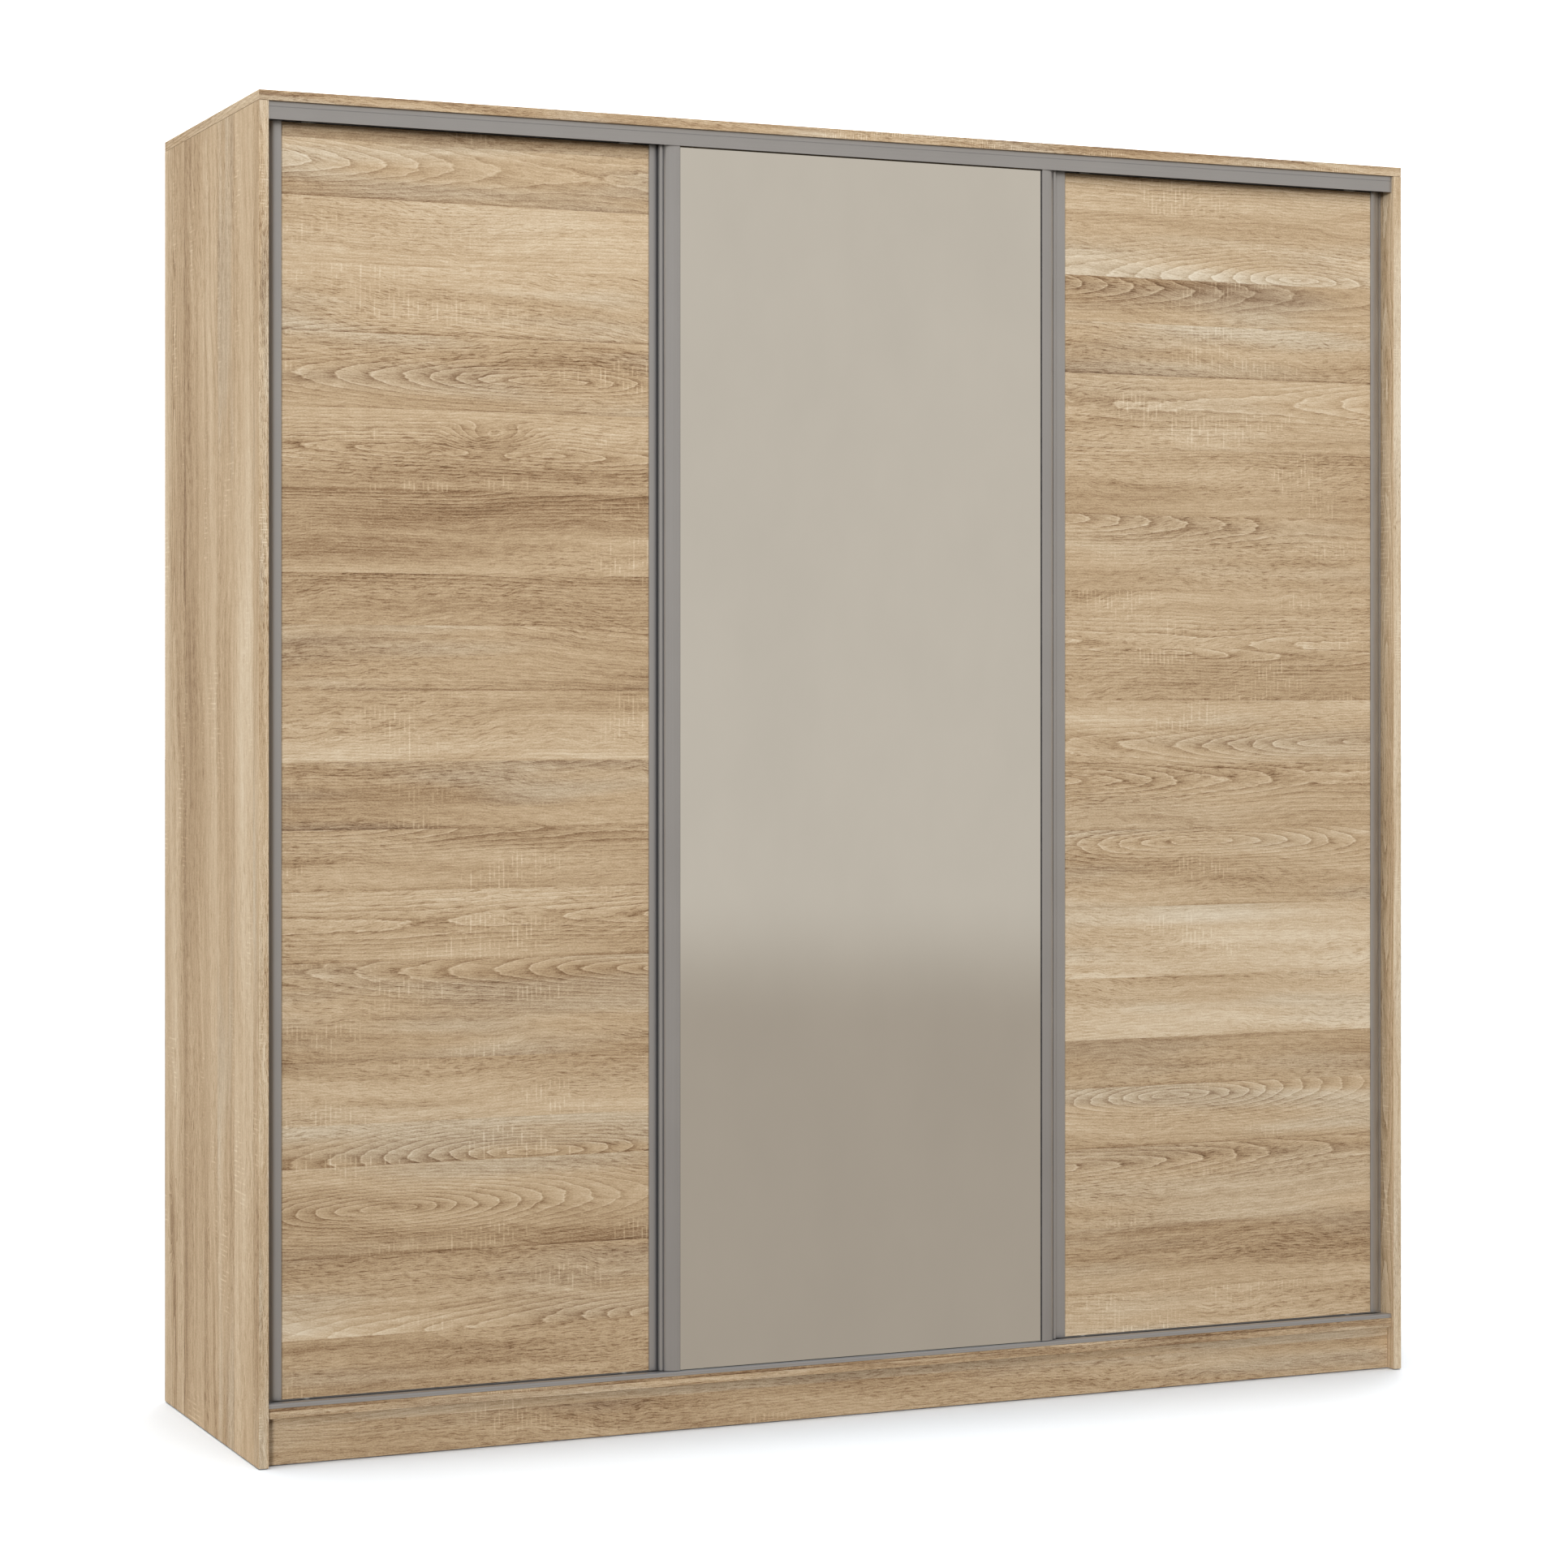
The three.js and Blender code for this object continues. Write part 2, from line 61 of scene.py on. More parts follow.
# The print's colours from its darkest tone, 0, to its lightest, 1.
OAK_TONES = (
    (0.00, (112, 84, 59)),
    (0.22, (152, 123, 92)),
    (0.42, (183, 157, 124)),
    (0.58, (199, 174, 141)),
    (0.76, (214, 192, 161)),
    (1.00, (231, 215, 189)),
)
GREY_OAK_TONES = (
    (0.00, (112, 88, 67)),
    (0.22, (150, 125, 99)),
    (0.42, (181, 159, 132)),
    (0.58, (200, 181, 153)),
    (0.76, (217, 201, 176)),
    (1.00, (233, 221, 200)),
)


# ---------------------------------------------------------------- node graphs
class Graph:
    """Adds nodes to a tree. A value is a number, a colour, a vector or another node's output."""

    def __init__(self, tree):
        self.tree = tree

    def feed(self, socket, value):
        if isinstance(value, bpy.types.NodeSocket):
            self.tree.links.new(value, socket)
        else:
            socket.default_value = value

    def add(self, kind, inputs=None, **settings):
        node = self.tree.nodes.new(kind)
        for name, value in settings.items():
            setattr(node, name, value)
        for key, value in (inputs or {}).items():
            self.feed(node.inputs[key], value)
        return node

    def math(self, operation, a, b=0.0, c=0.0):
        node = self.add("ShaderNodeMath", {0: a, 1: b, 2: c}, operation=operation)
        return node.outputs[0]

    def combine(self, x, y, z=0.0):
        return self.add("ShaderNodeCombineXYZ", {"X": x, "Y": y, "Z": z}).outputs[0]

    def split(self, vector):
        return self.add("ShaderNodeSeparateXYZ", {"Vector": vector}).outputs

    def scaled(self, vector, factors):
        inputs = {0: vector, 1: factors}
        return self.add("ShaderNodeVectorMath", inputs, operation="MULTIPLY").outputs[0]

    def noise(self, vector, per_metre, detail=1.0, roughness=0.5):
        """Noise centred on zero, from about -0.5 to 0.5.

        per_metre says how many swells there are in a metre: one number, or one for each axis.
        """
        if isinstance(per_metre, float):
            per_metre = (per_metre, per_metre, per_metre)
        inputs = {"Vector": self.scaled(vector, per_metre), "Scale": 1.0}
        inputs.update({"Detail": detail, "Roughness": roughness})
        node = self.add("ShaderNodeTexNoise", inputs, noise_dimensions="3D")
        return self.math("SUBTRACT", node.outputs["Fac"], 0.5)

    def cells(self, inputs, **settings):
        """A cell texture's outputs, and three random numbers from 0 to 1 for each cell."""
        outputs = self.add("ShaderNodeTexVoronoi", inputs, **settings).outputs
        picks = self.add("ShaderNodeSeparateColor", {"Color": outputs["Color"]}).outputs
        return outputs, picks

    def smooth(self, value, low, high):
        """Rises smoothly from 0 at low to 1 at high."""
        inputs = {"Value": value, "From Min": low, "From Max": high}
        node = self.add("ShaderNodeMapRange", inputs, interpolation_type="SMOOTHSTEP")
        return node.outputs["Result"]

    def ramp(self, value, stops):
        node = self.add("ShaderNodeValToRGB", {"Fac": value})
        elements = node.color_ramp.elements
        while len(elements) < len(stops):
            elements.new(0.5)
        for element, (place, colour) in zip(elements, stops):
            element.position = place
            element.color = colour
        return node.outputs["Color"]

    def shades(self, value, *stops):
        """A ramp through sRGB colours from 0 to 255, each one with its place."""
        return self.ramp(value, [(place, linear(*colour)) for place, colour in stops])

    def curve(self, value, stops):
        """A grey ramp read as a number."""
        return self.ramp(value, [(place, (level, level, level, 1.0)) for place, level in stops])

    def mix(self, factor, a, b):
        """Blends two colours, which are sockets 6 and 7 of a Mix node."""
        node = self.add("ShaderNodeMix", {"Factor": factor}, data_type="RGBA")
        self.feed(node.inputs[6], a)
        self.feed(node.inputs[7], b)
        return node.outputs[2]

    def mix_number(self, factor, a, b):
        """Blends two numbers, which are sockets 2 and 3 of a Mix node."""
        node = self.add("ShaderNodeMix", {"Factor": factor}, data_type="FLOAT")
        self.feed(node.inputs[2], a)
        self.feed(node.inputs[3], b)
        return node.outputs[0]

    def position(self):
        return self.add("ShaderNodeTexCoord").outputs["Object"]

    def facing(self, axis):
        """How squarely the surface faces along an axis, from -1 to 1."""
        normal = self.add("ShaderNodeTexCoord").outputs["Normal"]
        return self.split(normal)[axis]

    def bump(self, height, distance, strength):
        inputs = {"Height": height, "Distance": distance, "Strength": strength}
        return self.add("ShaderNodeBump", inputs).outputs["Normal"]

    def surface(self, **inputs):
        """The material's one shader. An input's name has underscores in place of its spaces."""
        shader = self.add("ShaderNodeBsdfPrincipled")
        for name, value in inputs.items():
            self.feed(shader.inputs[name.replace("_", " ")], value)
        output = self.add("ShaderNodeOutputMaterial")
        self.tree.links.new(shader.outputs["BSDF"], output.inputs["Surface"])
        return shader


def new_material(name):
    material = bpy.data.materials.new(name)
    material.use_nodes = True
    material.node_tree.nodes.clear()
    return material, Graph(material.node_tree)


# ---------------------------------------------------------------- oak laminate
# The print is laid out in metres: u runs along the grain and v across it. inside is v from the
# middle of the plank, picks are the plank's random numbers, and moved is the place with every
# plank's print shifted along by a length of its own.
PLANKS_PER_METRE = 9.0
LONGEST_SHIFT = 7.0
RINGS_PER_METRE = 190.0
SAW_CUTS_PER_METRE = 125.0
# Tone through one growth ring: a pale line, a dark line, then slowly paler.
RING_PROFILE = ((0.0, 0.62), (0.07, 0.86), (0.15, 0.16), (0.42, 0.40), (1.0, 0.60))
BASE_TONE = 0.59
MIDDLE_TONE = 0.56


def knots(g, moved):
    """1 in the middle of each knot and 0 outside it."""
    reach = 0.17
    where = {"Vector": g.scaled(moved, (1.5, 4.6, 1.0)), "Scale": 1.0, "Randomness": 1.0}
    cell, picks = g.cells(where, voronoi_dimensions="2D")
    spot = g.math("SUBTRACT", 1.0, g.smooth(cell["Distance"], 0.0, reach))
    one_in_nine = g.smooth(picks[1], 0.88, 0.90)
    return g.math("MULTIPLY", spot, one_in_nine)


def growth_rings(g, u, inside, moved, picks, knot):
    """The rings' tone, from -0.5 to 0.5, and how strongly they show.

    A plank is a slice that leans through a tree, so its rings show as long arches. Knots swell
    them into closed eyes.
    """
    heart_offset, heart_drift = 0.30, 0.045
    waves, least_depth, more_depth, uneven = 1.9, 0.02, 0.06, 0.022
    any_phase, knot_swelling, fraying = 40.0, 0.030, 0.55
    figured_share, least_strength, more_strength = 0.45, 0.20, 0.46

    # The distance from the tree's heart, across the plank and in depth.
    drift = g.math("MULTIPLY", g.noise(moved, (1.4, 3.0, 1.0)), heart_drift)
    offset = g.math("MULTIPLY", g.math("SUBTRACT", picks[1], 0.5), heart_offset)
    across = g.math("ADD", g.math("ADD", inside, drift), offset)
    sway = g.math("MULTIPLY_ADD", picks[0], any_phase, g.math("MULTIPLY", u, waves))
    deepest = g.math("MULTIPLY_ADD", picks[2], more_depth, least_depth)
    depth = g.math("MULTIPLY", g.math("SINE", sway), deepest)
    depth = g.math("MULTIPLY_ADD", g.noise(moved, (3.0, 6.0, 1.0)), uneven, depth)
    squares = g.math("ADD", g.math("POWER", across, 2.0), g.math("POWER", depth, 2.0))
    radius = g.math("MULTIPLY_ADD", knot, knot_swelling, g.math("SQRT", squares))

    frayed = g.math("MULTIPLY", g.noise(moved, (30.0, 120.0, 1.0), 2.0, 0.6), fraying)
    phase = g.math("MULTIPLY_ADD", radius, RINGS_PER_METRE, frayed)
    ring = g.math("SUBTRACT", g.curve(g.math("FRACT", phase), RING_PROFILE), 0.5)

    figured = g.smooth(g.noise(moved, (1.6, 9.0, 1.0)), -0.05, 0.22)
    near_heart = g.math("SUBTRACT", 1.0, g.smooth(radius, 0.02, 0.09))
    clear = g.math("MAXIMUM", g.math("MULTIPLY", figured, figured_share), near_heart)
    return ring, g.math("MULTIPLY_ADD", clear, more_strength, least_strength)


def fibre_direction(g, u, inside, moved, picks):
    """v as the fibres see it: they slant a little, by an angle of each plank's own."""
    plank_slant, slow_slant, wobble = 0.12, 0.06, 0.012
    plank = g.math("MULTIPLY", g.math("SUBTRACT", picks[2], 0.5), plank_slant)
    slow = g.math("MULTIPLY", g.noise(moved, (3.4, 5.0, 1.0)), slow_slant)
    quick = g.math("MULTIPLY", g.noise(moved, (20.0, 26.0, 1.0)), wobble)
    leaning = g.math("MULTIPLY_ADD", u, plank, g.math("ADD", slow, quick))
    return g.math("ADD", inside, leaning)


def pore_dashes(g, slanted, moved):
    """Short dark dashes along the fibres, thicker where the grain is open."""
    least, more = 0.25, 0.75
    dash = g.smooth(g.noise(slanted, (56.0, 540.0, 1.0)), 0.04, 0.15)
    open_grain = g.smooth(g.noise(moved, (2.1, 13.0, 3.0)), -0.14, 0.16)
    return g.math("MULTIPLY", dash, g.math("MULTIPLY_ADD", open_grain, more, least))


def saw_marks(g, grain, moved):
    """Pale saw marks that stand across the grain in small clusters."""
    uneven = 0.8
    u, v, _ = g.split(grain)
    cluster = g.smooth(g.noise(moved, (4.6, 15.0, 5.0), 0.0), 0.09, 0.26)
    wander = g.math("MULTIPLY", g.noise(grain, (9.0, 4.0, 1.0), 0.0), uneven)
    cut = g.math("MULTIPLY_ADD", u, SAW_CUTS_PER_METRE, wander)
    off_line = g.math("ABSOLUTE", g.math("SUBTRACT", g.math("FRACT", cut), 0.5))
    line = g.math("SUBTRACT", 1.0, g.smooth(off_line, 0.04, 0.24))
    # Every cut is broken in places of its own.
    each_cut = g.combine(g.math("FLOOR", cut), v)
    whole = g.smooth(g.noise(each_cut, (7.31, 42.0, 1.0), 0.0), -0.12, 0.22)
    return g.math("MULTIPLY", g.math("MULTIPLY", cluster, line), whole)


def oak_pattern():
    """A node group: grain coordinates (u, v) in metres to tone, pore depth and greyness."""
    tree = bpy.data.node_groups.new("oak_pattern", "ShaderNodeTree")
    tree.interface.new_socket("Grain", in_out="INPUT", socket_type="NodeSocketVector")
    for name in ("Tone", "Pores", "Greyness"):
        tree.interface.new_socket(name, in_out="OUTPUT", socket_type="NodeSocketFloat")
    g = Graph(tree)
    grain = g.add("NodeGroupInput").outputs["Grain"]
    u, v, _ = g.split(grain)

    # Planks are strips across the grain, of uneven widths.
    strips = {"W": g.math("MULTIPLY", v, PLANKS_PER_METRE), "Scale": 1.0, "Randomness": 0.9}
    plank, picks = g.cells(strips, voronoi_dimensions="1D")
    border = g.add(
        "ShaderNodeTexVoronoi", strips, voronoi_dimensions="1D", feature="DISTANCE_TO_EDGE"
    )
    inside = g.math("SUBTRACT", v, g.math("DIVIDE", plank["W"], PLANKS_PER_METRE))
    shift = g.math("MULTIPLY", picks[0], LONGEST_SHIFT)
    moved = g.combine(g.math("ADD", u, shift), v, shift)
    slanted = g.combine(u, fibre_direction(g, u, inside, moved, picks), shift)

    # A shade grows towards one edge of each plank, and a dark seam lies along some.
    edge_shade = g.math("MULTIPLY", inside, g.math("SUBTRACT", picks[0], 0.5))
    at_edge = g.math("SUBTRACT", 1.0, g.smooth(border.outputs["Distance"], 0.0, 0.05))
    lower_half = g.math("MULTIPLY", g.math("LESS_THAN", inside, 0.0), picks[0])

    knot = knots(g, moved)
    ring, ring_strength = growth_rings(g, u, inside, moved, picks, knot)
    pores = pore_dashes(g, slanted, moved)
    saw = saw_marks(g, grain, moved)
    plank_tone = g.math("SUBTRACT", picks[1], 0.5)
    cloud = g.noise(moved, (1.5, 14.0, 1.0), 2.0)
    stain = g.noise(slanted, (2.6, 64.0, 1.0), 2.0)
    fibre = g.noise(slanted, (34.0, 330.0, 0.0), 3.0, 0.8)
    grit = g.noise(grain, (300.0, 640.0, 1.0))
    seam = g.math("MULTIPLY", at_edge, lower_half)

    weights = (
        (plank_tone, 0.24),
        (edge_shade, 4.0),
        (cloud, 0.52),
        (stain, 0.46),
        (fibre, 0.72),
        (grit, 0.42),
        (pores, -0.22),
        (seam, -0.20),
        (knot, -0.14),
        (saw, 0.24),
    )
    tone = g.math("MULTIPLY_ADD", ring, ring_strength, BASE_TONE)
    for layer, weight in weights:
        tone = g.math("MULTIPLY_ADD", layer, weight, tone)

    grey_patch = g.smooth(g.noise(moved, (2.0, 16.0, 9.0)), -0.05, 0.15)
    grey_plank = g.smooth(picks[2], 0.2, 0.8)
    saw_depth = 0.6
    output = g.add("NodeGroupOutput")
    g.feed(output.inputs["Tone"], tone)
    g.feed(output.inputs["Greyness"], g.math("MULTIPLY", grey_patch, grey_plank))
    g.feed(output.inputs["Pores"], g.math("MAXIMUM", pores, g.math("MULTIPLY", saw, saw_depth)))
    return tree


OAK_PATTERN = oak_pattern()


def oak_material(name, along, across, start, lighter=0.0):
    """Oak-print laminate whose grain runs along one axis.

    start shifts the print on the board, and lighter is added to its tone.
    """
    material, g = new_material(name)
    place = g.split(g.position())
    thickness = X + Y + Z - along - across

    # The print wraps round the board's long edges. On its ends it runs along the end.
    on_end = g.smooth(g.math("ABSOLUTE", g.facing(along)), 0.6, 0.8)
    both = g.math("ADD", place[across], place[thickness])
    u = g.mix_number(on_end, place[along], place[across])
    v = g.mix_number(on_end, both, place[thickness])

    # The band on the long edges has a finer, stronger and paler print than the faces.
    finer_along, finer_across, stronger, paler = 0.7, 1.6, 0.6, 0.06
    face_contrast = 1.10
    on_edge = g.smooth(g.math("ABSOLUTE", g.facing(across)), 0.6, 0.8)
    u = g.math("MULTIPLY_ADD", u, g.math("MULTIPLY_ADD", on_edge, finer_along, 1.0), start[0])
    v = g.math("MULTIPLY_ADD", v, g.math("MULTIPLY_ADD", on_edge, finer_across, 1.0), start[1])
    pattern = g.add("ShaderNodeGroup", {"Grain": g.combine(u, v)}, node_tree=OAK_PATTERN).outputs
    contrast = g.math("MULTIPLY_ADD", on_edge, stronger, face_contrast)
    tone = g.math("SUBTRACT", pattern["Tone"], MIDDLE_TONE)
    tone = g.math("MULTIPLY_ADD", tone, contrast, MIDDLE_TONE + lighter)
    tone = g.math("MULTIPLY_ADD", on_edge, paler, tone)

    warm = g.shades(tone, *OAK_TONES)
    grey = g.shades(tone, *GREY_OAK_TONES)
    pores = pattern["Pores"]
    height = g.math("MULTIPLY_ADD", pores, -1.0, g.math("MULTIPLY", tone, 0.35))
    g.surface(
        Base_Color=g.mix(pattern["Greyness"], warm, grey),
        Roughness=g.math("MULTIPLY_ADD", pores, 0.14, 0.50),
        Specular_IOR_Level=0.28,
        Normal=g.bump(height, distance=0.12 * MM, strength=0.7),
    )
    return material


# ---------------------------------------------------------------- metals, glass and plastics
def aluminium_material(name, along):
    """Satin anodised extrusion, with faint draw lines along it."""
    material, g = new_material(name)
    place = g.position()
    per_metre = [700.0, 700.0, 700.0]
    per_metre[along] = 3.0
    lines = g.noise(place, per_metre, 2.0, 0.6)
    cloud = g.noise(place, 9.0, 2.0)
    grit = g.noise(place, 2600.0)
    tone = g.math("ADD", g.math("MULTIPLY", lines, 0.35), g.math("MULTIPLY_ADD", cloud, 0.30, 0.5))
    g.surface(
        Base_Color=g.shades(tone, (0.2, (175, 176, 179)), (0.8, (191, 192, 195))),
        Metallic=0.85,
        Roughness=g.math("MULTIPLY_ADD", lines, 0.12, 0.33),
        Specular_IOR_Level=0.5,
        Normal=g.bump(g.math("MULTIPLY_ADD", grit, 0.4, lines), distance=0.02 * MM, strength=0.5),
    )
    return material


def mirror_material():
    """Silvered glass: a mirror in front, green-grey edges and grey backing paint behind."""
    material, g = new_material("mirror_glass")
    front = g.smooth(g.math("MULTIPLY", g.facing(Y), -1.0), 0.7, 0.9)
    back = g.smooth(g.facing(Y), 0.7, 0.9)
    edge_or_back = g.mix(back, linear(96, 122, 112), linear(120, 124, 126))
    smear = g.noise(g.position(), (5.0, 5.0, 3.0), 4.0, 0.6)
    tone = g.math("ADD", smear, 0.5)
    silver = g.shades(tone, (0.3, (233, 234, 232)), (0.7, (238, 239, 237)))
    g.surface(
        Base_Color=g.mix(front, edge_or_back, silver),
        Metallic=front,
        Roughness=g.mix_number(front, 0.35, g.math("MULTIPLY_ADD", smear, 0.012, 0.012)),
        Specular_IOR_Level=0.5,
    )
    return material


def backboard_material():
    """Thin hardboard: white lacquer inside, raw brown fibre on the side that faces the wall."""
    material, g = new_material("white_backboard")
    place = g.position()
    fibre = g.noise(place, (110.0, 110.0, 260.0), 3.0, 0.8)
    fleck = g.noise(place, 900.0, 2.0)
    cloud = g.noise(place, 3.0, 3.0)
    raw_tone = g.math("MULTIPLY_ADD", fibre, 0.8, g.math("MULTIPLY_ADD", cloud, 0.14, 0.5))
    raw_tone = g.math("MULTIPLY_ADD", fleck, 0.6, raw_tone)
    raw = g.shades(raw_tone, (0.1, (140, 112, 82)), (0.5, (171, 142, 108)), (0.9, (196, 168, 134)))
    white_tone = g.math("ADD", cloud, 0.5)
    white = g.shades(white_tone, (0.3, (226, 223, 216)), (0.7, (233, 231, 226)))
    wall_side = g.smooth(g.facing(Y), 0.3, 0.6)
    g.surface(
        Base_Color=g.mix(wall_side, white, raw),
        Roughness=g.mix_number(wall_side, 0.42, 0.85),
        Specular_IOR_Level=0.35,
        Normal=g.bump(g.math("ADD", fibre, fleck), distance=0.06 * MM, strength=0.5),
    )
    return material


def chrome_material():
    """Chromed tube with faint smears along it."""
    material, g = new_material("chromed_steel")
    smear = g.noise(g.position(), (30.0, 60.0, 60.0), 3.0)
    tone = g.math("ADD", smear, 0.5)
    g.surface(
        Base_Color=g.shades(tone, (0.2, (205, 207, 209)), (0.8, (222, 223, 224))),
        Metallic=1.0,
        Roughness=g.math("MULTIPLY_ADD", smear, 0.10, 0.11),
    )
    return material


def zinc_material(name):
    """Bright zinc plate with a faint spangle and punching marks."""
    material, g = new_material(name)
    place = g.position()
    grains = {"Vector": place, "Scale": 420.0, "Randomness": 1.0}
    spangle = g.cells(grains, voronoi_dimensions="3D")[1][0]
    rub = g.noise(place, (240.0, 240.0, 60.0), 3.0)
    tone = g.math("MULTIPLY_ADD", spangle, 0.35, g.math("MULTIPLY_ADD", rub, 0.5, 0.3))
    g.surface(
        Base_Color=g.shades(tone, (0.1, (150, 153, 155)), (0.8, (192, 194, 193))),
        Metallic=0.9,
        Roughness=g.math("MULTIPLY_ADD", tone, 0.2, 0.26),
        Normal=g.bump(rub, distance=0.03 * MM, strength=0.5),
    )
    return material


def plastic_material(name, dark, light, roughness, speckle):
    """Moulded plastic: a fine sparked surface with a slight drift of tone."""
    material, g = new_material(name)
    place = g.position()
    spark = g.noise(place, 1800.0, 2.0)
    drift = g.noise(place, 60.0, 2.0)
    tone = g.math("MULTIPLY_ADD", spark, speckle, g.math("ADD", drift, 0.5))
    g.surface(
        Base_Color=g.shades(tone, (0.2, dark), (0.8, light)),
        Roughness=g.math("MULTIPLY_ADD", spark, 0.15, roughness),
        Specular_IOR_Level=0.45,
        Normal=g.bump(spark, distance=0.03 * MM, strength=0.6),
    )
    return material


def pile_material():
    """The grey hair of a brush seal, in fine tufts."""
    material, g = new_material("pile_seal")
    tuft = g.noise(g.position(), 900.0, 2.0, 0.7)
    tone = g.math("ADD", tuft, 0.5)
    g.surface(
        Base_Color=g.shades(tone, (0.3, (52, 50, 48)), (0.7, (104, 101, 97))),
        Roughness=0.95,
        Specular_IOR_Level=0.1,
        Normal=g.bump(tuft, distance=0.3 * MM, strength=0.9),
    )
    return material


# ---------------------------------------------------------------- carried-over CAD nodes
SMOOTH_BELOW = math.radians(32)
ROUND_ABOVE = math.radians(40)


def smooth_by_angle():
    """A geometry node group that shades smooth, apart from edges that turn more sharply."""
    tree = bpy.data.node_groups.new("smooth_by_angle", "GeometryNodeTree")
    tree.interface.new_socket("Geometry", in_out="INPUT", socket_type="NodeSocketGeometry")
    tree.interface.new_socket("Geometry", in_out="OUTPUT", socket_type="NodeSocketGeometry")
    g = Graph(tree)
    source = g.add("NodeGroupInput").outputs["Geometry"]
    inputs = {"Geometry": source, "Shade Smooth": True}
    faces = g.add("GeometryNodeSetShadeSmooth", inputs, domain="FACE")
    turn = g.add("GeometryNodeInputMeshEdgeAngle").outputs["Unsigned Angle"]
    gentle = g.math("LESS_THAN", turn, SMOOTH_BELOW)
    inputs = {"Geometry": faces.outputs["Geometry"], "Shade Smooth": gentle}
    edges = g.add("GeometryNodeSetShadeSmooth", inputs, domain="EDGE")
    g.feed(g.add("NodeGroupOutput").inputs["Geometry"], edges.outputs["Geometry"])
    return tree


SMOOTH_BY_ANGLE = smooth_by_angle()


def refine(obj, edge_radius=0.0):
    """Welds an object's split corners, shades its curves smooth and rounds its sharp edges."""
    weld = obj.modifiers.new("weld", "WELD")
    weld.merge_threshold = 0.01 * MM
    shade = obj.modifiers.new("shade", "NODES")
    shade.node_group = SMOOTH_BY_ANGLE
    if edge_radius:
        bevel = obj.modifiers.new("edge", "BEVEL")
        bevel.width = edge_radius
        bevel.segments = 2
        bevel.limit_method = "ANGLE"
        bevel.angle_limit = ROUND_ABOVE
        bevel.harden_normals = True


def finish_node(node, material, edge_radius=0.0):
    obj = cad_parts[node]
    obj.data.materials.clear()
    obj.data.materials.append(material)
    refine(obj, edge_radius)


def board(node, along, across, start, lighter=0.0, edge_radius=0.5 * MM):
    finish_node(node, oak_material(f"oak_{node}", along, across, start, lighter), edge_radius)


def finish_boards():
    """Every board has a stretch of the print of its own."""
    door_edge = 0.3 * MM
    board("top_panel", X, Y, start=(0.31, 1.9), lighter=0.07)
    board("left_side_panel", Z, Y, start=(3.7, 2.32), lighter=0.05)
    # The right side panel is made lighter: partly its print, partly painted light on its inner face
    # beside the doors, which the lamps barely reach.
    board("right_side_panel", Z, Y, start=(5.2, 0.74), lighter=0.17)
    # The bottom panel and the front plinth are made darker: painted shade low by the floor, and on
    # the plinth under the bottom panel's overhang.
    board("bottom_panel", X, Y, start=(1.6, 4.1), lighter=-0.17)
    board("plinth_front", X, Z, start=(2.9, 3.3), lighter=-0.17)
    board("plinth_rear", X, Z, start=(7.9, 6.1))
    board("left_door_panel", X, Z, start=(0.4, 0.17), lighter=-0.02, edge_radius=door_edge)
    board("right_door_panel", X, Z, start=(4.15, 2.63), lighter=0.03, edge_radius=door_edge)
    board("centre_door_backing_board", X, Z, start=(9.2, 5.3), edge_radius=door_edge)
    for i, side in enumerate(SIDES):
        board(f"partition_{side}", Z, Y, start=(6.1 + i, 3.9 + i))
        board(f"{side}_hat_shelf", X, Y, start=(2.2 + i, 7.7 + i))
    for i in SHELF_NUMBERS:
        board(f"centre_shelf_{i}", X, Y, start=(1.3 * i, 0.9 * i))


def finish_fittings():
    """Tracks, backs, rails, the mirror, and the doors' stiles, wheels and guides."""
    along_x = aluminium_material("satin_aluminium_track", X)
    along_z = aluminium_material("satin_aluminium_stile", Z)
    zinc = zinc_material("zinc_steel")
    nylon = plastic_material(
        "nylon", dark=(206, 203, 194), light=(226, 224, 217), roughness=0.42, speckle=0.3
    )
    housing = plastic_material(
        "dark_plastic", dark=(34, 35, 37), light=(58, 59, 61), roughness=0.5, speckle=0.5
    )
    backboard = backboard_material()
    chrome = chrome_material()
    for track in ("top_track", "bottom_track"):
        finish_node(track, along_x)
    for part in ("left", "centre", "right"):
        finish_node(f"back_panel_{part}", backboard, edge_radius=0.2 * MM)
    for side in SIDES:
        finish_node(f"{side}_hanging_rail", chrome)
        for end in ("a", "b"):
            finish_node(f"{side}_rail_cup_{end}", zinc, edge_radius=0.3 * MM)
    finish_node("centre_door_mirror", mirror_material(), edge_radius=0.3 * MM)
    for door in DOORS:
        for side in SIDES:
            finish_node(f"{door}_stile_{side}", along_z)
            finish_node(f"{door}_runner_{side}", housing, edge_radius=0.3 * MM)
            finish_node(f"{door}_wheel_{side}", nylon)
            finish_node(f"{door}_guide_bracket_{side}", zinc, edge_radius=0.2 * MM)
            finish_node(f"{door}_guide_roller_{side}", nylon)


# ---------------------------------------------------------------- small pieces
def mesh_object(name, build, material):
    """A new object whose mesh is made by build(bm)."""
    bm = bmesh.new()
    build(bm)
    mesh = bpy.data.meshes.new(name)
    bm.to_mesh(mesh)
    bm.free()
    obj = bpy.data.objects.new(name, mesh)
    obj.data.materials.append(material)
    bpy.context.scene.collection.objects.link(obj)
    return obj


def add_box(bm, low, high):
    size = [high[i] - low[i] for i in range(3)]
    middle = [(high[i] + low[i]) / 2 for i in range(3)]
    matrix = Matrix.Translation(middle) @ Matrix.Diagonal((*size, 1.0))
    bmesh.ops.create_cube(bm, size=1.0, matrix=matrix)


def rounded_strip(name, low, high, radius, material):
    """A long thin box with its edges rounded."""

    def build(bm):
        add_box(bm, low, high)
        edges = list(bm.edges)
        bmesh.ops.bevel(bm, geom=edges, offset=radius, segments=2, affect="EDGES", profile=0.5)

    return mesh_object(name, build, material)


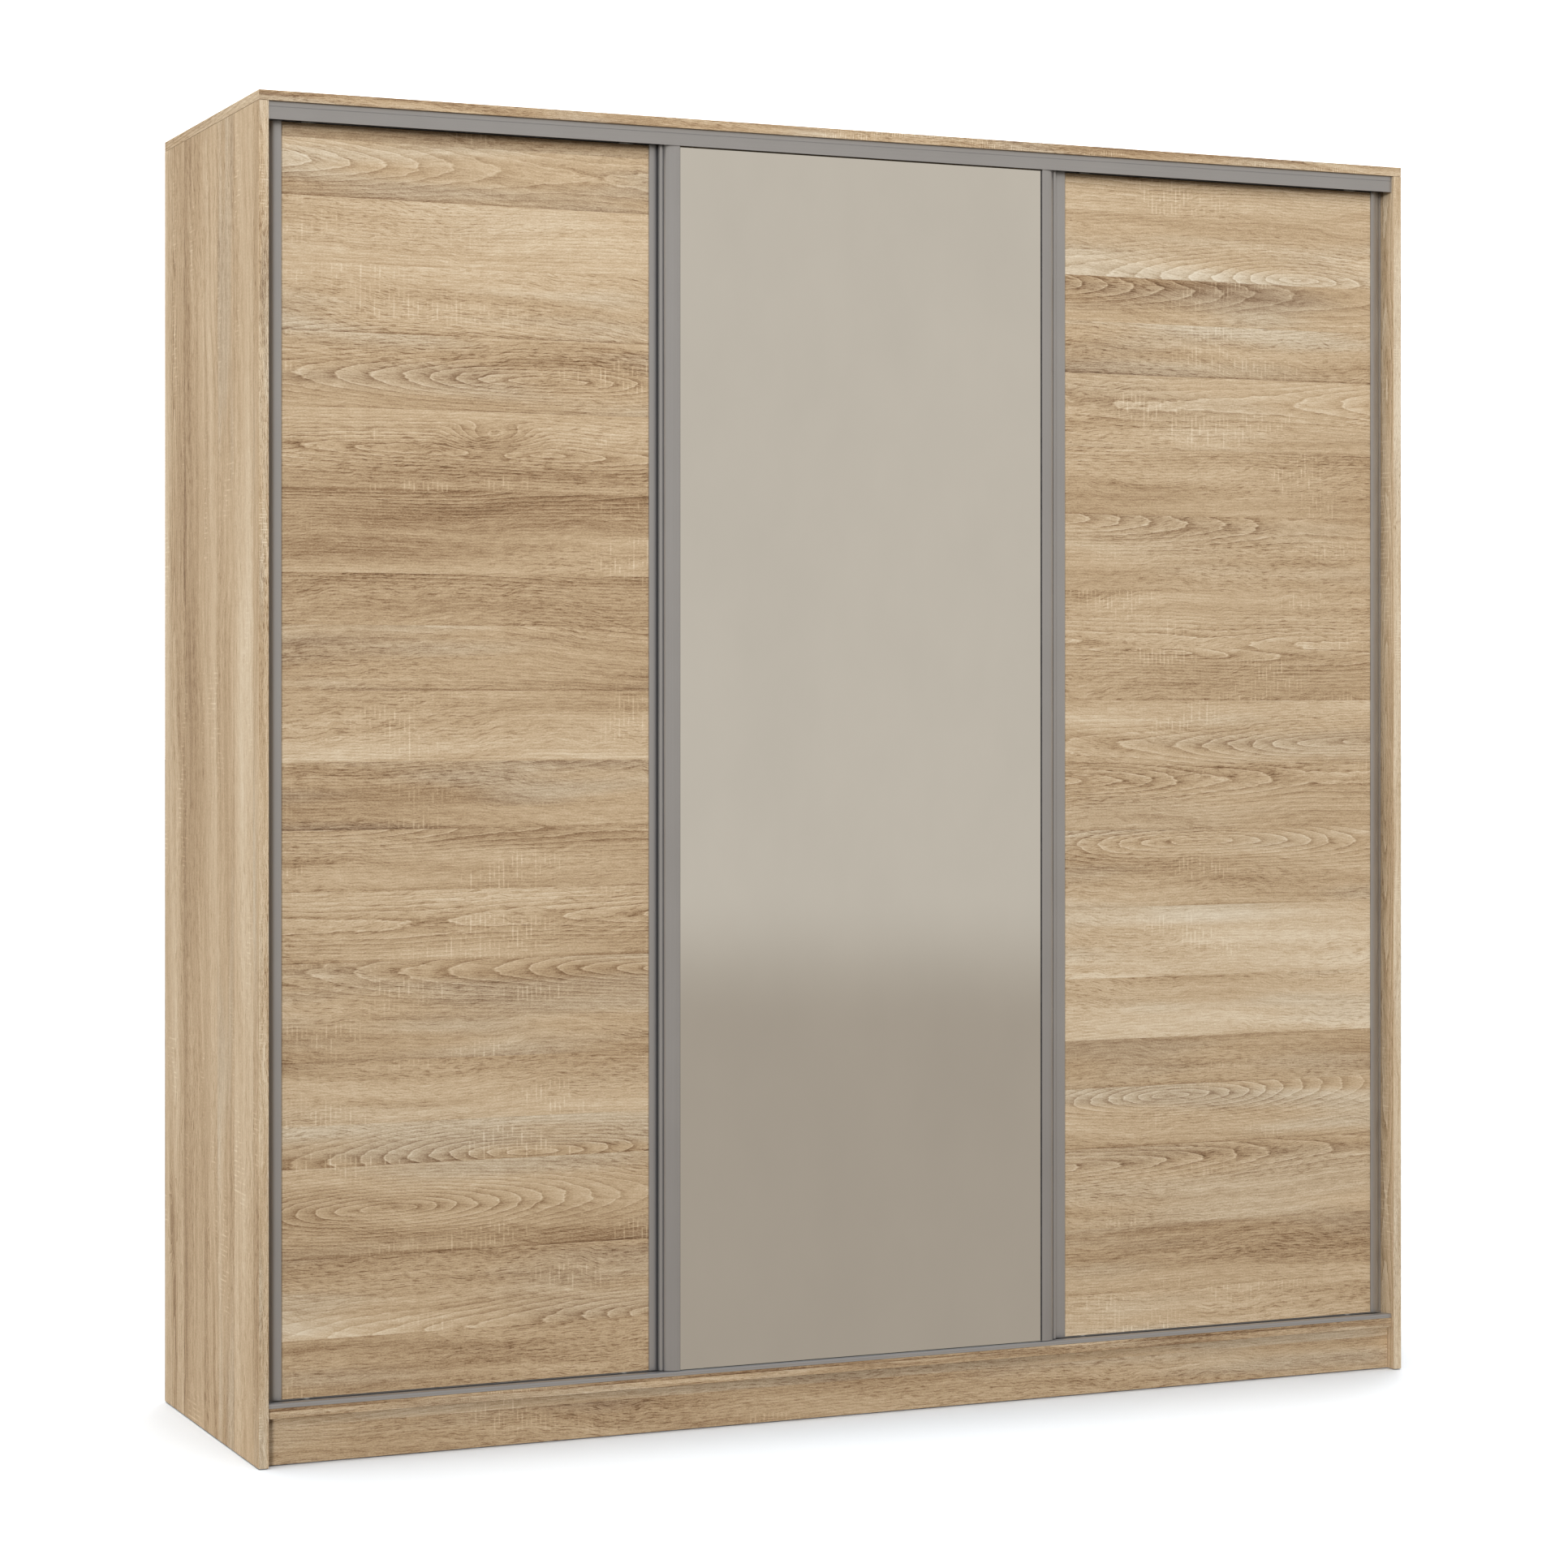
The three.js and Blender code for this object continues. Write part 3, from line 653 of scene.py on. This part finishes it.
def add_turned(bm, profile, place, axis, steps=20):
    """Revolves (radius, height) pairs about a line through place. The ends lie on the line."""
    turn = Vector((0, 0, 1)).rotation_difference(axis).to_matrix()
    place = Vector(place)
    angles = [math.tau * k / steps for k in range(steps)]

    def point(radius, height, angle):
        return place + turn @ Vector((radius * math.cos(angle), radius * math.sin(angle), height))

    first = bm.verts.new(point(0, profile[0][1], 0))
    last = bm.verts.new(point(0, profile[-1][1], 0))
    rings = []
    for radius, height in profile[1:-1]:
        rings.append([bm.verts.new(point(radius, height, angle)) for angle in angles])
    for k in range(steps):
        after = (k + 1) % steps
        bm.faces.new((first, rings[0][after], rings[0][k]))
        bm.faces.new((last, rings[-1][k], rings[-1][after]))
        for low, high in zip(rings, rings[1:]):
            bm.faces.new((low[k], low[after], high[after], high[k]))


def add_screw(bm, place):
    """A pan head that faces backwards: a dome with a dish in it, and a small cross in the dish."""
    radius, height = 3.2 * MM, 0.9 * MM
    steps = 8
    angles = [math.radians(90 * i / steps) for i in range(steps)]
    dome = [(radius * math.cos(a), height * math.sin(a)) for a in angles]
    dish_radius = radius * 0.42
    dish = [
        (dish_radius, height * 0.96),
        (dish_radius * 0.45, height * 0.3),
        (0.0, height * 0.25),
    ]
    add_turned(bm, [(0.0, 0.0), *dome, *dish], place, Vector((0.0, 1.0, 0.0)))

    half_bar = 0.28 * MM
    reach = half_bar + radius * 0.62
    x, y, z = place
    for dx, dz in ((reach, half_bar), (half_bar, reach)):
        add_box(bm, (x - dx, y + height / 2, z - dz), (x + dx, y + height, z + dz))


def screws(name, places, material, body):
    """One piece made of a screw head at each place."""

    def build(bm):
        for place in places:
            add_screw(bm, place)

    piece = mesh_object(name, build, material)
    refine(piece)
    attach(piece, body)


def add_door_screws(door, material):
    """Two screws in the back of each guide bracket and each runner."""
    above_bracket_foot, bracket_spread = 11 * MM, 10 * MM
    under_runner_top, runner_spread = 7 * MM, 20 * MM
    for side in SIDES:
        low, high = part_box(f"{door}_guide_bracket_{side}")
        x = (low.x + high.x) / 2
        z = low.z + above_bracket_foot
        plate = [(x + d, high.y, z) for d in (-bracket_spread, bracket_spread)]
        screws(f"{door}_guide_screws_{side}", plate, material, door)
        low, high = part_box(f"{door}_runner_{side}")
        z = high.z - under_runner_top
        ends = [(x + d, high.y, z) for d in (-runner_spread, runner_spread)]
        screws(f"{door}_runner_screws_{side}", ends, material, door)


def add_mirror_gaskets(rubber):
    """A thin rubber lip closes the slot between the glass and each stile."""
    width, thickness, gap, rounding = 1.3 * MM, 0.9 * MM, 0.05 * MM, 0.3 * MM
    above_foot, under_top = 1 * MM, 4 * MM
    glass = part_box("centre_door_mirror")[0].y
    for side, sign in (("left", -1), ("right", 1)):
        low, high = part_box(f"centre_door_stile_{side}")
        inner = high.x if sign < 0 else low.x
        xs = sorted((inner - sign * gap, inner - sign * (gap + width)))
        lip = rounded_strip(
            f"centre_door_gasket_{side}",
            (xs[0], glass - gap - thickness, low.z + above_foot),
            (xs[1], glass - gap, high.z - under_top),
            rounding,
            rubber,
        )
        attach(lip, "centre_door")


def add_pile_seals(pile):
    """Brush seals on the backs of the mirror door's stiles close the gap between the two lanes."""
    from_inner_edge, width = 4 * MM, 6 * MM
    pocket_depth, pile_length, rounding = 16.1 * MM, 3.4 * MM, 0.8 * MM
    above_foot, under_top = 2 * MM, 6 * MM
    for side, sign in (("left", -1), ("right", 1)):
        low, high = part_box(f"centre_door_stile_{side}")
        inner = high.x if sign < 0 else low.x
        xs = sorted((inner + sign * from_inner_edge, inner + sign * (from_inner_edge + width)))
        pocket_back = low.y + pocket_depth
        seal = rounded_strip(
            f"centre_door_seal_{side}",
            (xs[0], pocket_back, low.z + above_foot),
            (xs[1], pocket_back + pile_length, high.z - under_top),
            rounding,
            pile,
        )
        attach(seal, "centre_door")


def add_nose_cover(metal):
    """A cover profile clipped on the bottom track's rounded nose closes the gap under the doors.

    Its section is in millimetres from the track's lower front corner.
    """
    underside = [(0.3, 2.05), (1.0, 2.95), (2.0, 3.68), (4.0, 4.46), (7.4, 4.96), (8.1, 4.96)]
    top = [(8.1, 7.1), (7.9, 7.3), (2.4, 7.25), (1.7, 7.1), (1.1, 6.7), (0.6, 6.1), (0.35, 5.3)]
    section = underside + top
    low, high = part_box("bottom_track")

    def build(bm):
        ends = []
        for x in (low.x, high.x):
            ends.append([bm.verts.new((x, low.y + y * MM, low.z + z * MM)) for y, z in section])
        left, right = ends
        bm.faces.new(left)
        bm.faces.new(right)
        for i in range(len(section)):
            after = (i + 1) % len(section)
            bm.faces.new((left[i], left[after], right[after], right[i]))
        bmesh.ops.recalc_face_normals(bm, faces=bm.faces)

    cover = mesh_object("bottom_track_nose_cover", build, metal)
    refine(cover)
    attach(cover, "carcass")


def add_shelf_pins(shelf, material):
    """Four round pins under a shelf, each one standing out of the board beside it."""
    radius, reach = 2.5 * MM, 9 * MM
    foot_chamfer, tip_chamfer = 0.4 * MM, 0.6 * MM
    under_shelf, from_edge = 0.15 * MM, 60 * MM
    low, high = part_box(shelf)
    profile = [
        (0, 0),
        (radius - foot_chamfer, 0),
        (radius, foot_chamfer),
        (radius, reach - tip_chamfer),
        (radius - tip_chamfer, reach),
        (0, reach),
    ]

    def build(bm):
        for x, inward in ((low.x, 1.0), (high.x, -1.0)):
            for y in (low.y + from_edge, high.y - from_edge):
                place = (x, y, low.z - under_shelf - radius)
                add_turned(bm, profile, place, Vector((inward, 0.0, 0.0)), steps=24)

    piece = mesh_object(f"{shelf}_pins", build, material)
    refine(piece)
    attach(piece, "carcass")


def add_small_pieces():
    zinc = zinc_material("zinc_screws")
    rubber = plastic_material(
        "gasket_rubber", dark=(58, 57, 56), light=(84, 82, 80), roughness=0.6, speckle=0.5
    )
    for door in DOORS:
        add_door_screws(door, zinc)
    add_mirror_gaskets(rubber)
    add_pile_seals(pile_material())
    add_nose_cover(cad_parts["bottom_track"].data.materials[0])
    for side in SIDES:
        add_shelf_pins(f"{side}_hat_shelf", zinc)
    for i in SHELF_NUMBERS:
        add_shelf_pins(f"centre_shelf_{i}", zinc)


# ---------------------------------------------------------------- studio
# The camera is level and turned to the wardrobe's left. Its turn is in degrees, its lens and
# sensor are in millimetres, and its shift is in frame heights.
CAMERA_PLACE = (-2.568, -5.793, 1.2075)
CAMERA_TURN = 23.7
CAMERA_LENS = 83.14
CAMERA_SENSOR = 36.0
CAMERA_SHIFT = -0.0573
CAMERA_FAR_LIMIT = 200.0
BACKDROP_RADIUS = 80.0
BACKDROP_GLOW = 1.2
FLOOR_REACH = 60.0
FLOOR_SEEN = (236, 240, 244)
FLOOR_BOUNCE = (150, 139, 124)
ROOM_FLOOR = (176, 165, 152)
ROOM_WALL = (205, 196, 184)
# The seen floor is a little low, so that a fine dark line shows under the object.
FLOOR_DROP = 1.5 * MM
BOUNCE_DROP = 1.6 * MM
ROOM_DROP = 1.7 * MM
AMBIENT = 0.34
KEY_ENERGY = 1.60
FILL_ENERGY = 1.0
OVERHEAD_ENERGY = 2.25
BACK_ENERGY = 1.2
HIGH_FRONT_POWER = 84.0
HIGH_LEFT_POWER = 34.0


def make_camera():
    data = bpy.data.cameras.new("camera")
    data.lens = CAMERA_LENS
    data.sensor_width = CAMERA_SENSOR
    data.shift_y = CAMERA_SHIFT
    data.clip_end = CAMERA_FAR_LIMIT
    camera = bpy.data.objects.new("camera", data)
    camera.location = CAMERA_PLACE
    camera.rotation_euler = (math.radians(90), 0.0, math.radians(-CAMERA_TURN))
    bpy.context.scene.collection.objects.link(camera)
    bpy.context.scene.camera = camera


def plain_material(name, colour, glow=0.0):
    """A matt studio surface. Its tone drifts too little to see."""
    material, g = new_material(name)
    cloud = g.noise(g.position(), 0.6)
    darker = tuple(c * 0.995 for c in colour[:3]) + (1.0,)
    tint = g.mix(g.math("ADD", cloud, 0.5), colour, darker)
    shader = g.surface(Base_Color=tint, Roughness=0.9, Specular_IOR_Level=0.0)
    shader.inputs["Emission Color"].default_value = colour
    shader.inputs["Emission Strength"].default_value = glow
    return material


def only_seen_by(obj, camera=False, diffuse=False, glossy=False, shadow=False):
    obj.visible_camera = camera
    obj.visible_diffuse = diffuse
    obj.visible_glossy = glossy
    obj.visible_shadow = shadow


def make_backdrop():
    """A white sky behind everything that only the camera sees."""

    def dome(bm):
        bmesh.ops.create_icosphere(bm, subdivisions=4, radius=BACKDROP_RADIUS)

    white = plain_material("studio_backdrop", linear(255, 255, 255), BACKDROP_GLOW)
    sky = mesh_object("studio_backdrop", dome, white)
    only_seen_by(sky, camera=True)


def make_floor():
    """Two sheets, one that the camera sees and one for the lights' bounce.

    So the floor's tone and the bounce's tone can be set alone.
    """

    def sheet(bm):
        bmesh.ops.create_grid(bm, x_segments=1, y_segments=1, size=FLOOR_REACH)

    seen_material = plain_material("studio_floor", linear(*FLOOR_SEEN))
    seen = mesh_object("studio_floor", sheet, seen_material)
    seen.location.z = -FLOOR_DROP
    only_seen_by(seen, camera=True, shadow=True)
    bounce_material = plain_material("studio_floor_bounce", linear(*FLOOR_BOUNCE))
    bounce = mesh_object("studio_floor_bounce", sheet, bounce_material)
    bounce.location.z = -BOUNCE_DROP
    only_seen_by(bounce, diffuse=True)


def make_reflected_room():
    """A plain warm room in a half ring before the wardrobe: a floor that curves up into a wall.

    Only reflections see it. It glows evenly, so the mirror shows a quiet wall and no glare.
    """
    far, height, cove = 7.5, 6.0, 0.35
    bends = (0.3, 0.6, 0.9, 1.2)
    first_degree, degrees, steps = 170, 200, 48
    curve = [(far - cove * (1 - math.sin(t)), cove * (1 - math.cos(t))) for t in bends]
    section = [(0.0, 0.0), (far - cove, 0.0), *curve, (far, cove), (far, height)]

    def ring(bm):
        columns = []
        for i in range(steps + 1):
            angle = math.radians(first_degree + degrees * i / steps)
            x, y = math.cos(angle), math.sin(angle)
            columns.append([bm.verts.new((r * x, r * y, z)) for r, z in section])
        for left, right in zip(columns, columns[1:]):
            for low in range(len(section) - 1):
                bm.faces.new((left[low], right[low], right[low + 1], left[low + 1]))
        bmesh.ops.remove_doubles(bm, verts=bm.verts, dist=MM)

    material, g = new_material("studio_room")
    up_the_wall = g.smooth(g.split(g.position())[Z], 0.0, 0.5)
    glow = g.shades(up_the_wall, (0.0, ROOM_FLOOR), (1.0, ROOM_WALL))
    black = linear(0, 0, 0)
    shader = g.surface(Base_Color=black, Roughness=1.0, Specular_IOR_Level=0.0, Emission_Color=glow)
    shader.inputs["Emission Strength"].default_value = 1.0
    room = mesh_object("studio_room", ring, material)
    room.location.z = -ROOM_DROP
    only_seen_by(room, glossy=True)


def area_light(name, place, target, size, power):
    data = bpy.data.lights.new(name, "AREA")
    data.shape = "RECTANGLE"
    data.size, data.size_y = size
    data.energy = power
    light = bpy.data.objects.new(name, data)
    light.location = place
    light.rotation_euler = (Vector(target) - Vector(place)).to_track_quat("-Z", "Y").to_euler()
    light.visible_camera = False
    light.visible_glossy = False
    bpy.context.scene.collection.objects.link(light)


def sun_light(name, azimuth, elevation, softness, energy):
    """A soft sun. azimuth 0 is straight before the wardrobe and -90 is on its left, in degrees."""
    turn, rise = math.radians(azimuth), math.radians(elevation)
    level = math.cos(rise)
    towards = Vector((math.sin(turn) * level, -math.cos(turn) * level, math.sin(rise)))
    data = bpy.data.lights.new(name, "SUN")
    data.energy = energy
    data.angle = math.radians(softness)
    light = bpy.data.objects.new(name, data)
    light.rotation_euler = towards.to_track_quat("Z", "Y").to_euler()
    light.visible_glossy = False
    bpy.context.scene.collection.objects.link(light)


def make_lights():
    world = bpy.data.worlds.new("studio")
    world.use_nodes = True
    background = world.node_tree.nodes["Background"]
    background.inputs["Color"].default_value = (1.0, 1.0, 1.0, 1.0)
    background.inputs["Strength"].default_value = AMBIENT
    bpy.context.scene.world = world
    sun_light("key", azimuth=-33.0, elevation=9.0, softness=12.0, energy=KEY_ENERGY)
    sun_light("left_fill", azimuth=-95.0, elevation=10.0, softness=20.0, energy=FILL_ENERGY)
    sun_light("overhead", azimuth=180.0, elevation=87.0, softness=18.0, energy=OVERHEAD_ENERGY)
    sun_light("back_fill", azimuth=140.0, elevation=25.0, softness=30.0, energy=BACK_ENERGY)
    area_light(
        "high_front",
        place=(-0.6, -4.0, 4.2),
        target=(0.2, 0.0, 1.9),
        size=(3.0, 2.0),
        power=HIGH_FRONT_POWER,
    )
    area_light(
        "high_left",
        place=(-4.6, -0.6, 4.0),
        target=(-1.0, 0.0, 2.0),
        size=(3.0, 2.0),
        power=HIGH_LEFT_POWER,
    )
    bpy.context.scene.view_settings.view_transform = "Standard"
    bpy.context.scene.view_settings.look = "None"


# ---------------------------------------------------------------- build
make_camera()
make_lights()
make_backdrop()
make_floor()
make_reflected_room()
finish_boards()
finish_fittings()
add_small_pieces()
